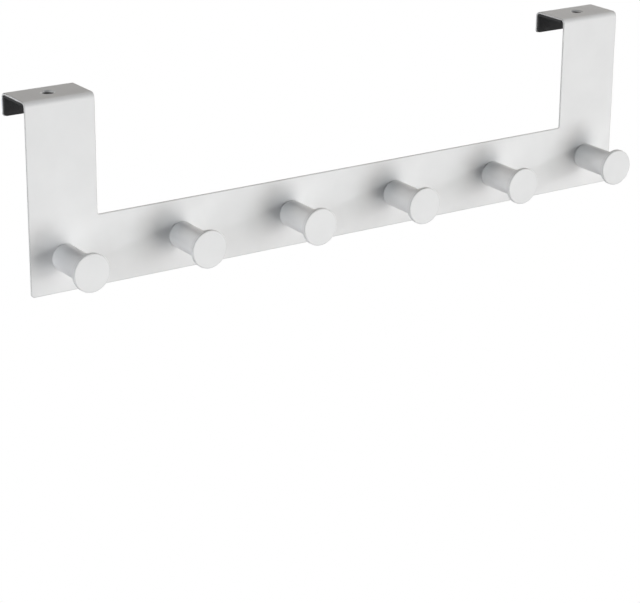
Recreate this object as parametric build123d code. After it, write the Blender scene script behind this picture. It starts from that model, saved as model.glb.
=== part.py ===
"""Over door hook: one folded steel sheet with turned knobs screwed on and foam in its hooks.

Millimetres. X runs along the rail, +Y from the rail's back face towards the door, +Z up.
The origin is on the rail's back face, at mid-length, at the height of the knobs' axes.
"""

import os
from math import cos, radians, tan

from build123d import *

# Outline of the folded sheet
rail_length = 390.0
rail_height = 39.0
upright_width = 40.0
overall_height = 104.5
hook_depth = 26.0
lip_drop = 12.8

# Stock, bends, corners and edges of the folded sheet
sheet_thickness = 1.0
bend_inner_radius = 2.0
plate_corner_radius = 2.0
notch_corner_radius = 1.0
lip_corner_radius = 1.5
edge_round = 0.3

# Countersunk screw hole in the top of each strap, pressed down as a dimple
strap_hole_diameter = 5.5
strap_sink_depth = 1.2
strap_sink_angle = 90.0
strap_dimple_drop = 0.7

# Turned knobs
knob_count = 6
knob_end_margin = 20.0
knob_axis_height = 19.0
knob_projection = 30.0
stem_diameter = 14.8
head_overhang = 3.1
head_thickness = 2.5
rim_round = 0.5
neck_fillet = 0.3
stem_base_round = 0.3

# Countersunk screws that hold the knobs from behind
screw_diameter = 4.0
screw_length = 12.0
screw_land = 0.2
screw_head_angle = 120.0
screw_tip_chamfer = 0.5
cross_span = 3.0
cross_slot_width = 0.8
cross_depth = 0.8
screw_clearance = 0.1
thread_clearance = 0.05
bore_run_out = 2.0
drill_tip_angle = 118.0

# Foam liners inside the hooks
liner_thickness = 1.5
liner_edge_inset = 0.3
liner_corner_relief = 0.3
liner_hole_clearance = 0.5

# A rounding takes at most this share of the wall it is on
round_limit = 0.4

# Planes and lines that follow from the outline
front_face_y = -sheet_thickness
lip_back_y = front_face_y + hook_depth
lip_front_y = lip_back_y - sheet_thickness
strap_mid_y = (front_face_y + lip_back_y) / 2
rail_bottom_z = -knob_axis_height
rail_top_z = rail_bottom_z + rail_height
strap_top_z = rail_bottom_z + overall_height
strap_under_z = strap_top_z - sheet_thickness
lip_bottom_z = strap_top_z - lip_drop
upright_mid_x = (rail_length - upright_width) / 2
notch_width = rail_length - 2 * upright_width
knob_pitch = (rail_length - 2 * knob_end_margin) / (knob_count - 1)
knob_axis_xs = [knob_end_margin - rail_length / 2 + i * knob_pitch for i in range(knob_count)]

# The sheet keeps its thickness round a dimple's cone
strap_sink_slope = tan(radians(strap_sink_angle / 2))
dimple_end_radius = strap_hole_diameter / 2 + sheet_thickness / cos(radians(strap_sink_angle / 2))
dimple_root_radius = dimple_end_radius + strap_dimple_drop * strap_sink_slope

# A screw head is as deep as the sheet, less a thin straight land at the front
screw_head_depth = sheet_thickness - screw_land
screw_head_radius = screw_diameter / 2 + screw_head_depth * tan(radians(screw_head_angle / 2))


def rim_edges(sheet: Part) -> ShapeList[Edge]:
    """Edges where the broad faces of the sheet meet its cut rim."""
    rim_levels = (rail_bottom_z, rail_top_z, lip_bottom_z)

    def is_rim(face: Face) -> bool:
        if face.geom_type == GeomType.CYLINDER:
            return abs(face.axis_of_rotation.direction.Y) > 0.5
        faces_along_rail = abs(face.normal_at().X) > 0.5
        faces_up_or_down = abs(face.normal_at().Z) > 0.5
        on_level = any(abs(face.center().Z - level) < sheet_thickness / 2 for level in rim_levels)
        return faces_along_rail or (faces_up_or_down and on_level)

    rim_faces_at = {}
    for face in sheet.faces().filter_by(is_rim):
        for edge in face.edges():
            rim_faces_at[edge] = rim_faces_at.get(edge, 0) + 1
    return ShapeList(edge for edge, count in rim_faces_at.items() if count == 1)


def folded_sheet() -> Part:
    """Rail, uprights, straps and lips, folded from one sheet."""
    fold_line = FilletPolyline(
        (0, rail_bottom_z),
        (0, strap_under_z),
        (lip_front_y, strap_under_z),
        (lip_front_y, lip_bottom_z),
        radius=bend_inner_radius,
    )
    section = make_face(offset(fold_line, sheet_thickness, side=Side.LEFT))
    sheet = extrude(Plane.YZ * section, rail_length / 2, both=True)

    # The notch between the uprights goes through plate, straps and lips alike
    notch = Rectangle(notch_width, 2 * (strap_top_z - rail_top_z))
    notch = fillet(notch.vertices().group_by(Axis.Y)[0], notch_corner_radius)
    notch_plane = Plane((0, 0, strap_top_z), x_dir=(1, 0, 0), z_dir=(0, -1, 0))
    sheet -= extrude(notch_plane * notch, 2 * hook_depth, both=True)

    # Rounded lower corners of the rail and of the lips, then the rounded cut rim
    sheet = fillet(sheet.edges().filter_by(Axis.Y).group_by(Axis.Z)[0], plate_corner_radius)
    lip_corners = sheet.edges().filter_by(Axis.Y).filter_by(
        lambda edge: abs(edge.center().Z - lip_bottom_z) < sheet_thickness / 2
    )
    sheet = fillet(lip_corners, lip_corner_radius)
    sheet = fillet(rim_edges(sheet), min(edge_round, round_limit * sheet_thickness))

    # Strap holes are sunk from above into their dimples, knob holes from behind
    dimple = Cone(
        dimple_end_radius,
        dimple_root_radius,
        strap_dimple_drop,
        align=(Align.CENTER, Align.CENTER, Align.MAX),
    )
    strap_hole = CounterSinkHole(
        strap_hole_diameter / 2,
        strap_hole_diameter / 2 + strap_sink_depth * strap_sink_slope,
        2 * (sheet_thickness + strap_dimple_drop),
        strap_sink_angle,
    )
    knob_hole = CounterSinkHole(
        screw_diameter / 2 + screw_clearance,
        screw_head_radius + screw_clearance,
        2 * sheet_thickness,
        screw_head_angle,
    )
    for x in (-upright_mid_x, upright_mid_x):
        sheet += Pos(x, strap_mid_y, strap_under_z) * dimple
        sheet -= Pos(x, strap_mid_y, strap_top_z) * strap_hole
    for x in knob_axis_xs:
        sheet -= Location((x, 0, 0), (-90, 0, 0)) * knob_hole
    return sheet


def knob() -> Part:
    """One knob turned about +Z, standing on the XY plane, with a blind screw hole in its base."""
    stem_radius = stem_diameter / 2
    head_radius = stem_radius + head_overhang
    head_back_z = knob_projection - head_thickness
    rim_radius = min(rim_round, round_limit * head_overhang, round_limit * head_thickness)
    neck_radius = min(neck_fillet, round_limit * head_overhang)
    bore_radius = screw_diameter / 2 + thread_clearance
    bore_depth = screw_length - sheet_thickness + bore_run_out
    drill_tip = bore_radius / tan(radians(drill_tip_angle / 2))

    outside = FilletPolyline(
        (bore_radius, 0),
        (stem_radius, 0),
        (stem_radius, head_back_z),
        (head_radius, head_back_z),
        (head_radius, knob_projection),
        (0, knob_projection),
        radius=[stem_base_round, neck_radius, rim_radius, rim_radius],
    )
    inside = Polyline(
        (0, knob_projection),
        (0, bore_depth + drill_tip),
        (bore_radius, bore_depth),
        (bore_radius, 0),
    )
    return revolve(Plane.XZ * make_face(outside + inside), Axis.Z)


def screw() -> Part:
    """One countersunk screw along -Z, its cross-slotted head flush with the XY plane."""
    screw_radius = screw_diameter / 2
    section = Polyline(
        (0, 0),
        (screw_head_radius, 0),
        (screw_radius, -screw_head_depth),
        (screw_radius, screw_tip_chamfer - screw_length),
        (screw_radius - screw_tip_chamfer, -screw_length),
        (0, -screw_length),
        close=True,
    )
    body = revolve(Plane.XZ * make_face(section), Axis.Z)
    for turn in (0, 90):
        body -= Rot(0, 0, turn) * Box(cross_span, cross_slot_width, 2 * cross_depth)
    return body


def hook_liner() -> Part:
    """Foam strip for a hook at X = 0, under the strap and down the inner face of the lip."""
    outer_radius = max(bend_inner_radius, liner_thickness) + liner_corner_relief
    glue_line = FilletPolyline(
        (bend_inner_radius + liner_edge_inset, strap_under_z),
        (lip_front_y, strap_under_z),
        (lip_front_y, lip_bottom_z + liner_edge_inset),
        radius=outer_radius,
    )
    section = make_face(offset(glue_line, liner_thickness, side=Side.RIGHT))
    liner = extrude(Plane.YZ * section, upright_width / 2 - liner_edge_inset, both=True)
    liner = fillet(liner.edges().filter_by(Axis.Y).group_by(Axis.Z)[0], lip_corner_radius)
    hole_radius = dimple_root_radius + liner_hole_clearance
    return liner - Pos(0, strap_mid_y, strap_under_z) * Cylinder(hole_radius, 4 * liner_thickness)


def write_node(name: str, shape: Part | Compound) -> None:
    """Write one node of the part to its own file."""
    shape.label = name
    export_step(shape, os.path.join("parts", f"{name}.step"))


def main() -> None:
    """Place every piece in the rail's frame and write it."""
    os.makedirs("parts", exist_ok=True)
    write_node("hook_rail", folded_sheet())
    for number, x in enumerate(knob_axis_xs, start=1):
        write_node(f"knob_{number}", Location((x, front_face_y, 0), (90, 0, 0)) * knob())
    screws = [Location((x, 0, 0), (-90, 0, 0)) * screw() for x in knob_axis_xs]
    write_node("knob_screws", Compound(children=screws))
    write_node("left_hook_liner", Pos(-upright_mid_x, 0, 0) * hook_liner())
    write_node("right_hook_liner", Pos(upright_mid_x, 0, 0) * hook_liner())


main()
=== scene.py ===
"""Looks of the over door hook: coated sheet and knobs, foam in the hooks, plated screws, studio, camera.

Metres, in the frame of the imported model: X runs along the rail, +Y towards the door, +Z up.
"""

import logging
import math
from dataclasses import dataclass
from enum import Enum

import bmesh
import bpy
from mathutils import Matrix, Vector


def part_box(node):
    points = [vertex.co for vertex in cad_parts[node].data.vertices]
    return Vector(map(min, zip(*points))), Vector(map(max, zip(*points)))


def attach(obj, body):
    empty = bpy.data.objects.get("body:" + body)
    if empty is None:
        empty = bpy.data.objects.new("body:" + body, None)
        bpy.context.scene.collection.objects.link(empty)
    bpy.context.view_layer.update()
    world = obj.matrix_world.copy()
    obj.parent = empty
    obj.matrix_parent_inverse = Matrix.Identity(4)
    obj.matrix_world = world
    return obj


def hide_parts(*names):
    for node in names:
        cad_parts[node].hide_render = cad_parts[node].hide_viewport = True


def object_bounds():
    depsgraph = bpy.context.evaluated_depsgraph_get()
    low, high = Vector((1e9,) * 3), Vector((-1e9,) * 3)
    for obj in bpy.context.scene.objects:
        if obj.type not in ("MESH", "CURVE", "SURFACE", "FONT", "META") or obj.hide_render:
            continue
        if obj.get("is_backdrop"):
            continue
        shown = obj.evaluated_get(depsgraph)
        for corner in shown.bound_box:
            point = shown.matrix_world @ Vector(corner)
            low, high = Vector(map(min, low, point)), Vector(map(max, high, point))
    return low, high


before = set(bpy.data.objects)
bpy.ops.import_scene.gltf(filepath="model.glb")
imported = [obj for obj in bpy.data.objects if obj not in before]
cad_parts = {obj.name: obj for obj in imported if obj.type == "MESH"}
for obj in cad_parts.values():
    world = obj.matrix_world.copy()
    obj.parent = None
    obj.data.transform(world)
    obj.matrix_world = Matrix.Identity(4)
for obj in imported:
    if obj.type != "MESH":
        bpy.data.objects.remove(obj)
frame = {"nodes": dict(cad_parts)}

log = logging.getLogger("over_door_hook")

MM = 0.001
SAME_PLACE = 0.01 * MM
JOIN_GAP = 0.001 * MM
ROOT_BODY = "root"
Colour = tuple[float, float, float]
WHITE: Colour = (1.0, 1.0, 1.0)
Value = float | int | Colour | tuple[float, ...] | bpy.types.NodeSocket


@dataclass(frozen=True)
class NodeBoard:
    """A node tree with short calls that place and link its nodes."""

    tree: bpy.types.NodeTree

    def add(
        self, kind: str, inputs: dict[str | int, Value] | None = None, **settings: object
    ) -> bpy.types.Node:
        """Place one node.

        Args:
            kind: Blender's name for the type of node.
            inputs: What each input takes, by its name or number: a plain value, or a socket to link from.
            settings: Properties of the node itself.

        Returns:
            The new node.
        """
        node = self.tree.nodes.new(kind)
        for name, value in settings.items():
            setattr(node, name, value)
        for name, value in (inputs or {}).items():
            self.feed(node.inputs[name], value)
        return node

    def feed(self, socket: bpy.types.NodeSocket, value: Value) -> None:
        """Set an input to a plain value, or link it.

        Args:
            socket: The input.
            value: A plain value, or the output to link from.
        """
        if isinstance(value, bpy.types.NodeSocket):
            self.tree.links.new(value, socket)
        elif socket.type == "RGBA" and len(value) == 3:
            socket.default_value = (*value, 1.0)
        else:
            socket.default_value = value

    def math(self, operation: str, *values: Value) -> bpy.types.NodeSocket:
        """Work out one number.

        Args:
            operation: Blender's name for the sum to do.
            values: The numbers or sockets that it takes, in order.

        Returns:
            The result's socket.
        """
        return self.add("ShaderNodeMath", dict(enumerate(values)), operation=operation).outputs[0]

    def spread(
        self, value: Value, low: float, high: float, to_low: float, to_high: float
    ) -> bpy.types.NodeSocket:
        """Carry a number from one range to another and stop at its ends.

        Args:
            value: The number to carry.
            low: Start of its own range.
            high: End of its own range.
            to_low: What the start becomes.
            to_high: What the end becomes.

        Returns:
            The result's socket.
        """
        ends = {"Value": value, "From Min": low, "From Max": high, "To Min": to_low, "To Max": to_high}
        return self.add("ShaderNodeMapRange", ends).outputs["Result"]

    def blend(self, share: Value, first: Value, second: Value) -> bpy.types.NodeSocket:
        """Mix two colours.

        Args:
            share: How much of the second colour shows.
            first: Colour at a share of 0.
            second: Colour at a share of 1.

        Returns:
            The mixed colour's socket.
        """
        node = self.add("ShaderNodeMix", data_type="RGBA")
        for socket in node.inputs:
            if socket.enabled and socket.name in ("Factor", "A", "B"):
                self.feed(socket, {"Factor": share, "A": first, "B": second}[socket.name])
        return next(socket for socket in node.outputs if socket.enabled)


class GroupBuilder:
    """Makes each shared effect once, as a group of shader nodes."""

    @staticmethod
    def start(
        name: str, inputs: dict[str, str], outputs: dict[str, str]
    ) -> tuple[NodeBoard, dict[str, bpy.types.NodeSocket], bpy.types.Node]:
        """Open a new group.

        Args:
            name: The group's name.
            inputs: Type of each input socket, by name.
            outputs: Type of each output socket, by name.

        Returns:
            The board to build on, the sockets with the inputs, and the node that takes the outputs.
        """
        tree = bpy.data.node_groups.new(name, "ShaderNodeTree")
        for socket_name, socket_type in inputs.items():
            tree.interface.new_socket(socket_name, in_out="INPUT", socket_type=socket_type)
        for socket_name, socket_type in outputs.items():
            tree.interface.new_socket(socket_name, in_out="OUTPUT", socket_type=socket_type)
        board = NodeBoard(tree)
        entry = board.add("NodeGroupInput")
        return board, {name: entry.outputs[name] for name in inputs}, board.add("NodeGroupOutput")

    @staticmethod
    def sprayed_skin() -> bpy.types.NodeTree:
        """Skin of a baked powder coat: long waves, fine grain, slow change of tone and a few specks.

        Returns:
            The group, with Height and Tone from 0 to 1 and a Speck mask.
        """
        number = "NodeSocketFloat"
        tone_scale = 38.0
        speck_scale = 210.0
        speck_core = 0.018
        speck_rim = 0.03
        speck_rarity = 0.93
        board, taken, given = GroupBuilder.start(
            "sprayed_skin",
            {
                "Place": "NodeSocketVector",
                "Wave Scale": number,
                "Grain Scale": number,
                "Grain Share": number,
            },
            {"Height": number, "Tone": number, "Speck": number},
        )
        place = taken["Place"]
        wave = board.add(
            "ShaderNodeTexNoise",
            {"Vector": place, "Scale": taken["Wave Scale"], "Detail": 1.0},
        )
        grain = board.add(
            "ShaderNodeTexNoise",
            {"Vector": place, "Scale": taken["Grain Scale"], "Detail": 2.0},
        )
        share = board.add(
            "ShaderNodeMix",
            {"Factor": taken["Grain Share"], "A": wave.outputs[0], "B": grain.outputs[0]},
        )
        tone = board.add(
            "ShaderNodeTexNoise",
            {"Vector": place, "Scale": tone_scale, "Detail": 4.0, "Roughness": 0.55},
        )
        cell = board.add("ShaderNodeTexVoronoi", {"Vector": place, "Scale": speck_scale})
        rare = board.add("ShaderNodeSeparateColor", {"Color": cell.outputs["Color"]})
        near = board.spread(cell.outputs["Distance"], speck_core, speck_rim, 1.0, 0.0)
        chosen = board.math("GREATER_THAN", rare.outputs[0], speck_rarity)
        board.feed(given.inputs["Height"], share.outputs[0])
        board.feed(given.inputs["Tone"], tone.outputs[0])
        board.feed(given.inputs["Speck"], board.math("MULTIPLY", near, chosen))
        return board.tree

    @staticmethod
    def edge_line() -> bpy.types.NodeTree:
        """Mask that is 1 along the edges of a piece, where a coat gets painted shade and plating rubs
        bright.

        It looks from the surface into the piece, where near an edge the other side is close.

        Returns:
            The group, with an Edge mask from 0 to 1.
        """
        number = "NodeSocketFloat"
        board, taken, given = GroupBuilder.start(
            "edge_line", {"Width": number, "Reach": number}, {"Edge": number}
        )
        depth = board.add(
            "ShaderNodeAmbientOcclusion",
            {"Distance": taken["Width"]},
            samples=12,
            inside=True,
            only_local=True,
        )
        blocked = board.math("SUBTRACT", 1.0, depth.outputs["AO"])
        scaled = board.math("DIVIDE", blocked, taken["Reach"])
        board.feed(given.inputs["Edge"], board.math("MINIMUM", scaled, 1.0))
        return board.tree

    @staticmethod
    def handled_film() -> bpy.types.NodeTree:
        """Faint clouds that fingers and cleaning leave in the gloss of a surface.

        Returns:
            The group, with a Film value from 0 to 1.
        """
        number = "NodeSocketFloat"
        clear_below = 0.35
        full_above = 0.7
        board, taken, given = GroupBuilder.start(
            "handled_film", {"Place": "NodeSocketVector", "Cloud Scale": number}, {"Film": number}
        )
        cloud = board.add(
            "ShaderNodeTexNoise",
            {"Vector": taken["Place"], "Scale": taken["Cloud Scale"], "Detail": 5.0, "Distortion": 0.6},
        )
        board.feed(given.inputs["Film"], board.spread(cloud.outputs[0], clear_below, full_above, 0.0, 1.0))
        return board.tree


@dataclass(frozen=True)
class SharedEffects:
    """The groups that more than one finish places."""

    skin: bpy.types.NodeTree
    edge: bpy.types.NodeTree
    film: bpy.types.NodeTree

    @classmethod
    def build(cls) -> "SharedEffects":
        """Make every shared group once."""
        return cls(GroupBuilder.sprayed_skin(), GroupBuilder.edge_line(), GroupBuilder.handled_film())


@dataclass(frozen=True)
class Finish:
    """What every finish has: a name, and a fresh material with its shader."""

    name: str

    def open_material(self) -> tuple[bpy.types.Material, NodeBoard, bpy.types.Node, bpy.types.NodeSocket]:
        """Make an empty material with a principled shader.

        Returns:
            The material, its board, the shader and the socket with object coordinates.
        """
        material = bpy.data.materials.new(self.name)
        material.use_nodes = True
        material.node_tree.nodes.clear()
        board = NodeBoard(material.node_tree)
        shader = board.add("ShaderNodeBsdfPrincipled")
        board.add("ShaderNodeOutputMaterial", {"Surface": shader.outputs[0]})
        place = board.add("ShaderNodeTexCoord").outputs["Object"]
        return material, board, shader, place


@dataclass(frozen=True, kw_only=True)
class PowderCoat(Finish):
    """White baked coat, satin, with a fine orange skin and painted shade darkening its edges."""

    colour: Colour
    edge_shade_colour: Colour
    roughness: float
    wave_scale: float
    grain_scale: float
    grain_share: float
    skin_depth: float
    edge_width: float
    edge_reach: float = 0.4
    cloud_scale: float = 24.0
    film_roughness: float = 0.08
    mottle_tone: float = 0.965
    speck_tone: float = 0.55
    speck_share: float = 0.6
    specular: float = 0.4

    def material(self, effects: SharedEffects) -> bpy.types.Material:
        """Build the coat.

        Args:
            effects: The shared groups.

        Returns:
            The material.
        """
        material, board, shader, place = self.open_material()
        skin = board.add("ShaderNodeGroup", node_tree=effects.skin)
        for name, value in {
            "Place": place,
            "Wave Scale": self.wave_scale,
            "Grain Scale": self.grain_scale,
            "Grain Share": self.grain_share,
        }.items():
            board.feed(skin.inputs[name], value)
        edge = board.add("ShaderNodeGroup", node_tree=effects.edge)
        board.feed(edge.inputs["Width"], self.edge_width)
        board.feed(edge.inputs["Reach"], self.edge_reach)
        film = board.add("ShaderNodeGroup", node_tree=effects.film)
        board.feed(film.inputs["Place"], place)
        board.feed(film.inputs["Cloud Scale"], self.cloud_scale)

        shade = tuple(self.mottle_tone * channel for channel in self.colour)
        clouds = board.spread(skin.outputs["Tone"], 0.35, 0.65, 0.0, 1.0)
        mottled = board.blend(clouds, self.colour, shade)
        # Painted shade: the edge mask darkens the coat to a grey along every edge.
        edge_shaded = board.blend(edge.outputs["Edge"], mottled, self.edge_shade_colour)
        speck_colour = tuple(self.speck_tone * channel for channel in self.colour)
        speck = board.math("MULTIPLY", skin.outputs["Speck"], self.speck_share)
        specked = board.blend(speck, edge_shaded, speck_colour)
        dull = self.roughness + self.film_roughness
        rough = board.spread(film.outputs["Film"], 0.0, 1.0, self.roughness, dull)
        bump = board.add(
            "ShaderNodeBump",
            {"Height": skin.outputs["Height"], "Distance": self.skin_depth, "Strength": 1.0},
        )
        board.feed(shader.inputs["Base Color"], self.hole_shade_places(board, place, specked))
        board.feed(shader.inputs["Roughness"], rough)
        board.feed(shader.inputs["Normal"], bump.outputs["Normal"])
        board.feed(shader.inputs["Specular IOR Level"], self.specular)
        return material

    def hole_shade_places(
        self, board: NodeBoard, place: bpy.types.NodeSocket, coated: bpy.types.NodeSocket
    ) -> bpy.types.NodeSocket:
        """Painted shade on the walls of through holes: none, on a piece without through holes."""
        return coated


@dataclass(frozen=True, kw_only=True)
class PiercedCoat(PowderCoat):
    """The coat of the sheet, with painted shade, a dark grey, on the pierced walls of the strap holes."""

    hole_shade_colour: Colour
    hole_x: float
    hole_y: float
    hole_radius: float
    fade: float

    def hole_shade_places(
        self, board: NodeBoard, place: bpy.types.NodeSocket, coated: bpy.types.NodeSocket
    ) -> bpy.types.NodeSocket:
        """Paint shade, a dark grey, on the walls of the two strap holes, which mirror each other along X.

        Args:
            board: The material's board.
            place: Socket with object coordinates.
            coated: The coat's colour.

        Returns:
            The colour with the bare walls.
        """
        along = board.add("ShaderNodeSeparateXYZ", {0: place})
        across = board.math("SUBTRACT", board.math("ABSOLUTE", along.outputs["X"]), self.hole_x)
        back = board.math("SUBTRACT", along.outputs["Y"], self.hole_y)
        across_squared = board.math("MULTIPLY", across, across)
        back_squared = board.math("MULTIPLY", back, back)
        from_axis = board.math("SQRT", board.math("ADD", across_squared, back_squared))
        # Painted shade: the walls of the strap holes go dark grey.
        hole_shade_mask = board.spread(from_axis, self.hole_radius, self.hole_radius + self.fade, 1.0, 0.0)
        return board.blend(hole_shade_mask, coated, self.hole_shade_colour)


@dataclass(frozen=True)
class ZincPlate(Finish):
    """Dull zinc on turned screws: rings round each axis, a cloudy blue cast, rubbed edges."""

    colour: Colour
    cast_colour: Colour
    roughness: float
    screw_pitch: float
    first_axis: float
    ring_scale: float
    ring_depth: float
    cloud_scale: float
    film_roughness: float
    edge_width: float
    edge_reach: float
    rub_gain: float
    rub_share: float

    def material(self, effects: SharedEffects) -> bpy.types.Material:
        """Build the plating.

        Args:
            effects: The shared groups.

        Returns:
            The material.
        """
        material, board, shader, place = self.open_material()
        along = board.add("ShaderNodeSeparateXYZ", {0: place})
        half_pitch = self.screw_pitch / 2
        left = self.first_axis - half_pitch
        right = self.first_axis + half_pitch
        nearest = board.math("WRAP", along.outputs["X"], right, left)
        across = board.math("SUBTRACT", nearest, self.first_axis)
        across_squared = board.math("MULTIPLY", across, across)
        up_squared = board.math("MULTIPLY", along.outputs["Z"], along.outputs["Z"])
        from_axis = board.math("SQRT", board.math("ADD", across_squared, up_squared))
        rings = board.add("ShaderNodeCombineXYZ", {0: from_axis})
        lathe = board.add(
            "ShaderNodeTexNoise",
            {"Vector": rings.outputs[0], "Scale": self.ring_scale, "Detail": 2.0},
        )
        film = board.add("ShaderNodeGroup", node_tree=effects.film)
        board.feed(film.inputs["Place"], place)
        board.feed(film.inputs["Cloud Scale"], self.cloud_scale)
        edge = board.add("ShaderNodeGroup", node_tree=effects.edge)
        board.feed(edge.inputs["Width"], self.edge_width)
        board.feed(edge.inputs["Reach"], self.edge_reach)

        plated = board.blend(film.outputs["Film"], self.colour, self.cast_colour)
        rubbed = tuple(min(1.0, self.rub_gain * channel) for channel in self.colour)
        rub = board.math("MULTIPLY", edge.outputs["Edge"], self.rub_share)
        bright = board.blend(rub, plated, rubbed)
        dull = self.roughness + self.film_roughness
        worn = board.spread(film.outputs["Film"], 0.0, 1.0, self.roughness, dull)
        bump = board.add(
            "ShaderNodeBump",
            {"Height": lathe.outputs[0], "Distance": self.ring_depth, "Strength": 1.0},
        )
        board.feed(shader.inputs["Base Color"], bright)
        board.feed(shader.inputs["Metallic"], 1.0)
        board.feed(shader.inputs["Roughness"], worn)
        board.feed(shader.inputs["Normal"], bump.outputs["Normal"])
        return material


@dataclass(frozen=True)
class CellFoam(Finish):
    """Dark closed-cell foam: small cells, paler skins between them, dull all over."""

    colour: Colour
    skin_colour: Colour
    roughness: float
    cell_scale: float
    cell_depth: float
    wall_width: float
    wall_share: float
    wall_gloss: float
    cloud_scale: float
    dust_share: float
    specular: float

    def material(self, effects: SharedEffects) -> bpy.types.Material:
        """Build the foam.

        Args:
            effects: The shared groups.

        Returns:
            The material.
        """
        material, board, shader, place = self.open_material()
        pattern = {"Vector": place, "Scale": self.cell_scale}
        cells = board.add("ShaderNodeTexVoronoi", pattern, feature="F1")
        walls = board.add("ShaderNodeTexVoronoi", pattern, feature="DISTANCE_TO_EDGE")
        skin = board.spread(walls.outputs["Distance"], 0.0, self.wall_width, 1.0, 0.0)
        film = board.add("ShaderNodeGroup", node_tree=effects.film)
        board.feed(film.inputs["Place"], place)
        board.feed(film.inputs["Cloud Scale"], self.cloud_scale)
        wall = board.math("MULTIPLY", skin, self.wall_share)
        toned = board.blend(wall, self.colour, self.skin_colour)
        dust = board.math("MULTIPLY", film.outputs["Film"], self.dust_share)
        dusted = board.blend(dust, toned, self.skin_colour)
        bump = board.add(
            "ShaderNodeBump",
            {"Height": cells.outputs["Distance"], "Distance": self.cell_depth, "Strength": 1.0},
            invert=True,
        )
        rough = board.spread(skin, 0.0, 1.0, self.roughness, self.roughness - self.wall_gloss)
        board.feed(shader.inputs["Base Color"], dusted)
        board.feed(shader.inputs["Roughness"], rough)
        board.feed(shader.inputs["Specular IOR Level"], self.specular)
        board.feed(shader.inputs["Normal"], bump.outputs["Normal"])
        return material


@dataclass(frozen=True)
class CoatedSteel:
    """The folded sheet and the turned knobs, which keep their solids and get a coat each."""

    sheet_node: str
    knob_prefix: str
    sheet_coat: PowderCoat
    knob_coat: PowderCoat

    def dress(self, nodes: dict[str, bpy.types.Object], effects: SharedEffects) -> None:
        """Coat the sheet and every knob.

        Args:
            nodes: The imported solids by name.
            effects: The shared groups.
        """
        sheet_material = self.sheet_coat.material(effects)
        knob_material = self.knob_coat.material(effects)
        for name, solid in nodes.items():
            if name == self.sheet_node:
                solid.data.materials[0] = sheet_material
            elif name.startswith(self.knob_prefix) and name[len(self.knob_prefix):].isdigit():
                solid.data.materials[0] = knob_material
            else:
                continue
            log.info("coated %s", name)


@dataclass(frozen=True)
class ScrewSet:
    """The countersunk screws in the back of the rail."""

    node: str
    plate: ZincPlate

    def dress(self, nodes: dict[str, bpy.types.Object], effects: SharedEffects) -> None:
        """Plate the screws.

        Args:
            nodes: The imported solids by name.
            effects: The shared groups.
        """
        nodes[self.node].data.materials[0] = self.plate.material(effects)
        log.info("plated %s", self.node)


class HookSide(Enum):
    """The two hooks, by the name of the solid that holds the foam's place."""

    LEFT = "left_hook_liner"
    RIGHT = "right_hook_liner"


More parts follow.
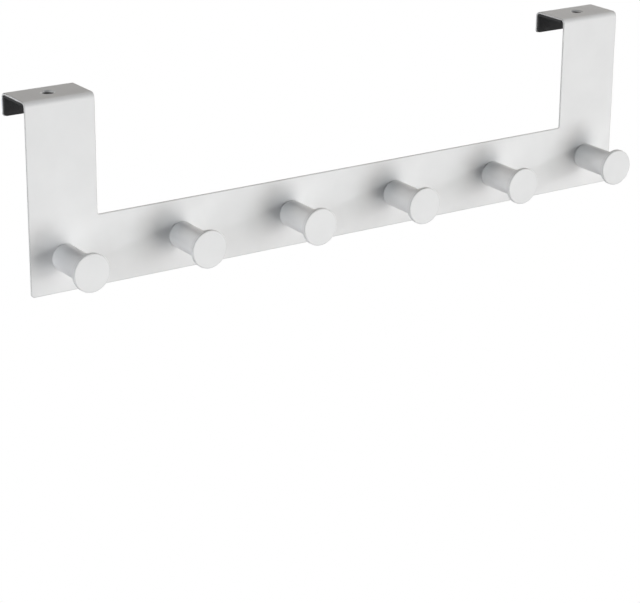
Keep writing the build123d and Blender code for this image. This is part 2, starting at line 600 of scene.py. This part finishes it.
@dataclass(frozen=True)
class FoamLiner:
    """Die-cut foam strip, bent under the strap and down the lip of one hook."""

    side: HookSide
    thickness: float
    bend_radius: float
    corner_radius: float
    hole_radius: float
    edge_round: float
    edge_angle: float
    bend_steps: int
    corner_steps: int
    hole_steps: int
    edge_steps: int
    fill: float

    def build(self) -> bpy.types.Object:
        """Model the strip in the place of its solid.

        Returns:
            The finished piece.
        """
        low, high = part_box(self.side.value)
        mesh = bpy.data.meshes.new(f"{self.side.value}_foam")
        shape = bmesh.new()
        self._sweep(shape, low, high)
        self._round_lip_corners(shape, low)
        bmesh.ops.recalc_face_normals(shape, faces=shape.faces)
        shape.to_mesh(mesh)
        shape.free()
        piece = bpy.data.objects.new(mesh.name, mesh)
        bpy.context.scene.collection.objects.link(piece)
        self._punch_hole(piece, low, high)
        self._soften(piece)
        return piece

    def _sweep(self, shape: bmesh.types.BMesh, low: Vector, high: Vector) -> None:
        """Sweep the strip's end back under the strap, round the bend and down the lip.

        Args:
            shape: The mesh to build in.
            low: Lowest corner of the solid's box.
            high: Highest corner of the solid's box.
        """
        under = high.z - self.thickness
        corners = [(low.x, under), (high.x, under), (high.x, high.z), (low.x, high.z)]
        end = shape.faces.new([shape.verts.new((x, low.y, z)) for x, z in corners])
        end = self._push(shape, end, Vector((0, high.y - self.bend_radius - low.y, 0)))
        turned = bmesh.ops.spin(
            shape,
            geom=[end, *end.edges, *end.verts],
            cent=(0, high.y - self.bend_radius, high.z - self.bend_radius),
            axis=(1, 0, 0),
            angle=-math.pi / 2,
            steps=self.bend_steps,
        )
        end = next(item for item in turned["geom_last"] if isinstance(item, bmesh.types.BMFace))
        self._push(shape, end, Vector((0, 0, low.z - (high.z - self.bend_radius))))
        bmesh.ops.remove_doubles(shape, verts=shape.verts, dist=JOIN_GAP)

    @staticmethod
    def _push(shape: bmesh.types.BMesh, face: bmesh.types.BMFace, way: Vector) -> bmesh.types.BMFace:
        """Extrude one face.

        Args:
            shape: The mesh that holds it.
            face: The face to push.
            way: How far and where to.

        Returns:
            The face at the new end.
        """
        made = bmesh.ops.extrude_face_region(shape, geom=[face])["geom"]
        bmesh.ops.translate(shape, vec=way, verts=[v for v in made if isinstance(v, bmesh.types.BMVert)])
        if face.is_valid and any(len(edge.link_faces) > 2 for edge in face.edges):
            bmesh.ops.delete(shape, geom=[face], context="FACES_ONLY")
        return next(item for item in made if isinstance(item, bmesh.types.BMFace))

    def _round_lip_corners(self, shape: bmesh.types.BMesh, low: Vector) -> None:
        """Round the two lower corners of the strip.

        Args:
            shape: The mesh to round.
            low: Lowest corner of the solid's box.
        """
        corners = [
            edge for edge in shape.edges
            if all(abs(v.co.z - low.z) < SAME_PLACE for v in edge.verts)
            and abs(edge.verts[0].co.x - edge.verts[1].co.x) < SAME_PLACE
        ]
        bmesh.ops.bevel(
            shape,
            geom=corners,
            offset=self.corner_radius,
            offset_type="OFFSET",
            affect="EDGES",
            segments=self.corner_steps,
            profile=0.5,
            material=-1,
        )

    def _punch_hole(self, piece: bpy.types.Object, low: Vector, high: Vector) -> None:
        """Punch the hole under the strap's screw hole.

        Args:
            piece: The strip.
            low: Lowest corner of the solid's box.
            high: Highest corner of the solid's box.
        """
        strap_low, strap_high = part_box("hook_rail")
        hole_y = self._strap_middle(strap_low, strap_high)
        punch_mesh = bpy.data.meshes.new("punch")
        punch_shape = bmesh.new()
        bmesh.ops.create_cone(
            punch_shape,
            cap_ends=True,
            segments=self.hole_steps,
            radius1=self.hole_radius,
            radius2=self.hole_radius,
            depth=4 * self.thickness,
            matrix=Matrix.Translation(((low.x + high.x) / 2, hole_y, high.z - self.thickness / 2)),
        )
        punch_shape.to_mesh(punch_mesh)
        punch_shape.free()
        punch = bpy.data.objects.new("punch", punch_mesh)
        bpy.context.scene.collection.objects.link(punch)
        cut = piece.modifiers.new("hole", "BOOLEAN")
        cut.object = punch
        cut.operation = "DIFFERENCE"
        cut.solver = "EXACT"
        bpy.context.view_layer.update()
        evaluated = piece.evaluated_get(bpy.context.evaluated_depsgraph_get())
        punched = bpy.data.meshes.new_from_object(evaluated)
        piece.modifiers.clear()
        piece.data = punched
        bpy.data.objects.remove(punch)
        bpy.data.meshes.remove(punch_mesh)

    @staticmethod
    def _strap_middle(low: Vector, high: Vector) -> float:
        """Where along Y the straps' screw holes are: half way between the sheet's front and its lips."""
        return (low.y + high.y) / 2

    def _soften(self, piece: bpy.types.Object) -> None:
        """Give the cut edges the small round that soft foam has, and shade it smooth.

        Args:
            piece: The strip.
        """
        soft = piece.modifiers.new("soft edges", "BEVEL")
        soft.width = self.edge_round
        soft.segments = self.edge_steps
        soft.limit_method = "ANGLE"
        soft.angle_limit = math.radians(self.edge_angle)
        soft.harden_normals = True
        piece.data.polygons.foreach_set("use_smooth", [True] * len(piece.data.polygons))

    def dress(self, piece: bpy.types.Object, foam: bpy.types.Material) -> None:
        """Give the strip its foam and its place in the frame.

        Args:
            piece: The strip.
            foam: Its material.
        """
        piece.data.materials.clear()
        piece.data.materials.append(foam)
        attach(piece, ROOT_BODY)
        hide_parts(self.side.value)
        log.info("lined %s", self.side.name.lower())


@dataclass(frozen=True)
class SoftBox:
    """One large diffused lamp of the studio, aimed at the rail."""

    name: str
    bearing: float
    height: float
    distance: float
    width: float
    tall: float
    power: float
    tint: Colour

    def place(self, aim: Vector) -> None:
        """Set up the lamp.

        Args:
            aim: The point that it faces.
        """
        lamp = bpy.data.lights.new(self.name, "AREA")
        lamp.shape = "RECTANGLE"
        lamp.size = self.width
        lamp.size_y = self.tall
        lamp.energy = self.power
        lamp.color = self.tint
        stand = bpy.data.objects.new(self.name, lamp)
        bearing = math.radians(self.bearing)
        height = math.radians(self.height)
        way = Vector((
            math.sin(bearing) * math.cos(height),
            -math.cos(bearing) * math.cos(height),
            math.sin(height),
        ))
        stand.location = aim + way * self.distance
        stand.rotation_mode = "QUATERNION"
        stand.rotation_quaternion = way.to_track_quat("Z", "Y")
        stand.visible_camera = False
        bpy.context.scene.collection.objects.link(stand)


@dataclass(frozen=True)
class Studio:
    """White room: soft lamps, a white surround, and a pale floor well under the rail."""

    lamps: tuple[SoftBox, ...]
    floor_drop: float
    floor_size: float
    floor_colour: Colour

    def build(self, aim: Vector, rail_bottom: float) -> None:
        """Set up lamps, surround and floor.

        Args:
            aim: The point that the lamps face.
            rail_bottom: Height of the lowest edge of the rail.
        """
        for lamp in self.lamps:
            lamp.place(aim)
        self._surround()
        self._floor(rail_bottom - self.floor_drop)
        bpy.context.scene.view_settings.view_transform = "Standard"
        bpy.context.scene.view_settings.look = "None"

    @staticmethod
    def _surround() -> None:
        """Surround that the camera sees as plain white, and that lights nothing."""
        world = bpy.data.worlds.new("studio_surround")
        bpy.context.scene.world = world
        world.use_nodes = True
        world.node_tree.nodes.clear()
        board = NodeBoard(world.node_tree)
        seen = board.add("ShaderNodeLightPath").outputs["Is Camera Ray"]
        white = board.add("ShaderNodeBackground", {"Color": WHITE, "Strength": seen})
        board.add("ShaderNodeOutputWorld", {"Surface": white.outputs[0]})

    def _floor(self, level: float) -> None:
        """Pale floor that shows white from above and doesn't hide the part from below.

        Args:
            level: Height of the floor.
        """
        mesh = bpy.data.meshes.new("studio_floor")
        shape = bmesh.new()
        bmesh.ops.create_grid(
            shape,
            x_segments=1,
            y_segments=1,
            size=self.floor_size / 2,
            matrix=Matrix.Translation((0, 0, level)),
        )
        shape.to_mesh(mesh)
        shape.free()
        floor = bpy.data.objects.new("studio_floor", mesh)
        bpy.context.scene.collection.objects.link(floor)
        material = bpy.data.materials.new("pale_floor")
        material.use_nodes = True
        material.node_tree.nodes.clear()
        board = NodeBoard(material.node_tree)
        path = board.add("ShaderNodeLightPath")
        pale = board.add("ShaderNodeBsdfDiffuse", {"Color": self.floor_colour})
        white = board.add("ShaderNodeEmission", {"Color": WHITE})
        clear = board.add("ShaderNodeBsdfTransparent")
        seen = board.add(
            "ShaderNodeMixShader",
            {0: path.outputs["Is Camera Ray"], 1: pale.outputs[0], 2: white.outputs[0]},
        )
        behind = board.add("ShaderNodeNewGeometry").outputs["Backfacing"]
        sided = board.add("ShaderNodeMixShader", {0: behind, 1: seen.outputs[0], 2: clear.outputs[0]})
        board.add("ShaderNodeOutputMaterial", {"Surface": sided.outputs[0]})
        mesh.materials.append(material)
        floor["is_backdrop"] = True


@dataclass(frozen=True)
class Viewpoint:
    """Camera at the viewing angle of the photograph."""

    azimuth: float
    elevation: float
    roll: float
    target: tuple[float, float, float]
    distance: float
    lens: float
    sensor: float
    nearest: float
    farthest: float

    def place(self) -> None:
        """Set up the camera and make it the scene's own."""
        azimuth = math.radians(self.azimuth)
        elevation = math.radians(self.elevation)
        back = Vector((
            math.sin(azimuth) * math.cos(elevation),
            -math.cos(azimuth) * math.cos(elevation),
            math.sin(elevation),
        ))
        right = Vector((math.cos(azimuth), math.sin(azimuth), 0.0))
        axes = Matrix((right, back.cross(right), back)).transposed()
        turn = axes @ Matrix.Rotation(-math.radians(self.roll), 3, "Z")
        view = bpy.data.cameras.new("viewpoint")
        view.sensor_width = self.sensor
        view.lens = self.lens
        view.clip_start = self.nearest
        view.clip_end = self.farthest
        camera = bpy.data.objects.new("viewpoint", view)
        camera.location = Vector(self.target) + back * self.distance
        camera.rotation_mode = "QUATERNION"
        camera.rotation_quaternion = turn.to_quaternion()
        bpy.context.scene.collection.objects.link(camera)
        bpy.context.scene.camera = camera


COATED_STEEL = CoatedSteel(
    sheet_node="hook_rail",
    knob_prefix="knob_",
    sheet_coat=PiercedCoat(
        name="sheet_powder_coat",
        colour=(0.835, 0.836, 0.837),
        # Painted shade along the edges of the sheet.
        edge_shade_colour=(0.55, 0.55, 0.545),
        roughness=0.5,
        wave_scale=420.0,
        grain_scale=2600.0,
        grain_share=0.3,
        skin_depth=0.02 * MM,
        edge_width=0.7 * MM,
        # Painted shade on the walls of the strap holes.
        hole_shade_colour=(0.12, 0.12, 0.12),
        hole_x=175 * MM,
        hole_y=12 * MM,
        hole_radius=2.8 * MM,
        fade=0.5 * MM,
    ),
    knob_coat=PowderCoat(
        name="knob_powder_coat",
        colour=(0.835, 0.836, 0.837),
        # Painted shade along the edges of the knobs.
        edge_shade_colour=(0.55, 0.55, 0.545),
        roughness=0.46,
        wave_scale=520.0,
        grain_scale=3000.0,
        grain_share=0.25,
        skin_depth=0.015 * MM,
        edge_width=0.8 * MM,
    ),
)

SCREWS = ScrewSet(
    node="knob_screws",
    plate=ZincPlate(
        name="screw_zinc_plate",
        colour=(0.46, 0.475, 0.49),
        cast_colour=(0.36, 0.39, 0.43),
        roughness=0.4,
        screw_pitch=70 * MM,
        first_axis=-175 * MM,
        ring_scale=5200.0,
        ring_depth=0.01 * MM,
        cloud_scale=420.0,
        film_roughness=0.14,
        edge_width=0.25 * MM,
        edge_reach=0.3,
        rub_gain=1.12,
        rub_share=0.5,
    ),
)

LINERS = tuple(
    FoamLiner(
        side=side,
        thickness=1.5 * MM,
        bend_radius=2.3 * MM,
        corner_radius=1.5 * MM,
        hole_radius=5.36 * MM,
        edge_round=0.2 * MM,
        edge_angle=40.0,
        bend_steps=8,
        corner_steps=6,
        hole_steps=40,
        edge_steps=3,
        fill=1.0,
    )
    for side in HookSide
)

FOAM = CellFoam(
    name="liner_cell_foam",
    colour=(0.044, 0.044, 0.045),
    skin_colour=(0.075, 0.075, 0.077),
    roughness=0.85,
    cell_scale=1500.0,
    cell_depth=0.12 * MM,
    wall_width=0.12,
    wall_share=0.55,
    wall_gloss=0.12,
    cloud_scale=60.0,
    dust_share=0.3,
    specular=0.25,
)

STUDIO = Studio(
    lamps=(
        SoftBox("key_box", 18.0, 3.0, 3.2, 1.8, 1.0, 26.5, (0.955, 1.0, 0.993)),
        SoftBox("low_key_box", 19.0, -17.0, 1.6, 0.7, 0.5, 6.9, (0.945, 0.98, 1.0)),
        SoftBox("right_key_box", 36.0, 0.0, 3.2, 0.68, 1.0, 9.9, (1.0, 0.95, 0.985)),
        SoftBox("front_box", 10.0, -8.0, 1.6, 0.5, 0.5, 2.3, (1.0, 0.81, 0.67)),
        SoftBox("left_high_box", -70.0, 12.0, 1.6, 0.5, 0.5, 4.0, (0.87, 0.945, 1.0)),
        SoftBox("left_low_box", -70.0, -8.0, 1.6, 0.5, 0.5, 4.6, (1.0, 0.98, 0.97)),
        SoftBox("left_side_box", -78.0, -4.0, 1.6, 0.75, 1.0, 3.9, (0.93, 0.945, 1.0)),
        SoftBox("right_side_lamp", 82.0, 12.0, 4.0, 0.12, 0.12, 70.0, WHITE),
        SoftBox("right_back_box", 100.0, 15.0, 1.6, 0.75, 0.75, 4.0, (1.0, 0.95, 0.84)),
        SoftBox("high_back_box", 140.0, 45.0, 1.6, 0.75, 0.75, 4.9, (1.0, 0.97, 0.965)),
        SoftBox("left_back_box", 220.0, 45.0, 1.6, 0.75, 0.75, 5.5, (1.0, 0.96, 0.9)),
        SoftBox("back_box", 180.0, -15.0, 1.6, 2.4, 0.9, 16.0, WHITE),
    ),
    floor_drop=1.2,
    floor_size=12.0,
    floor_colour=(0.5, 0.5, 0.5),
)

VIEWPOINT = Viewpoint(
    azimuth=-33.931,
    elevation=20.12,
    roll=-0.488,
    target=(-14.66 * MM, -0.55 * MM, -56.23 * MM),
    distance=1279.74 * MM,
    lens=127.29,
    sensor=36.0,
    nearest=0.01,
    farthest=100.0,
)


def main() -> None:
    """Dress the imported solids, line the hooks, and set up studio and camera."""
    logging.basicConfig(level=logging.INFO, format="%(name)s: %(message)s")
    cad_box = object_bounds()
    nodes = frame["nodes"]
    effects = SharedEffects.build()
    COATED_STEEL.dress(nodes, effects)
    SCREWS.dress(nodes, effects)
    foam = FOAM.material(effects)
    for liner in LINERS:
        liner.dress(liner.build(), foam)
    low, high = cad_box
    STUDIO.build((low + high) / 2, low.z)
    VIEWPOINT.place()


if __name__ == "__main__":
    main()
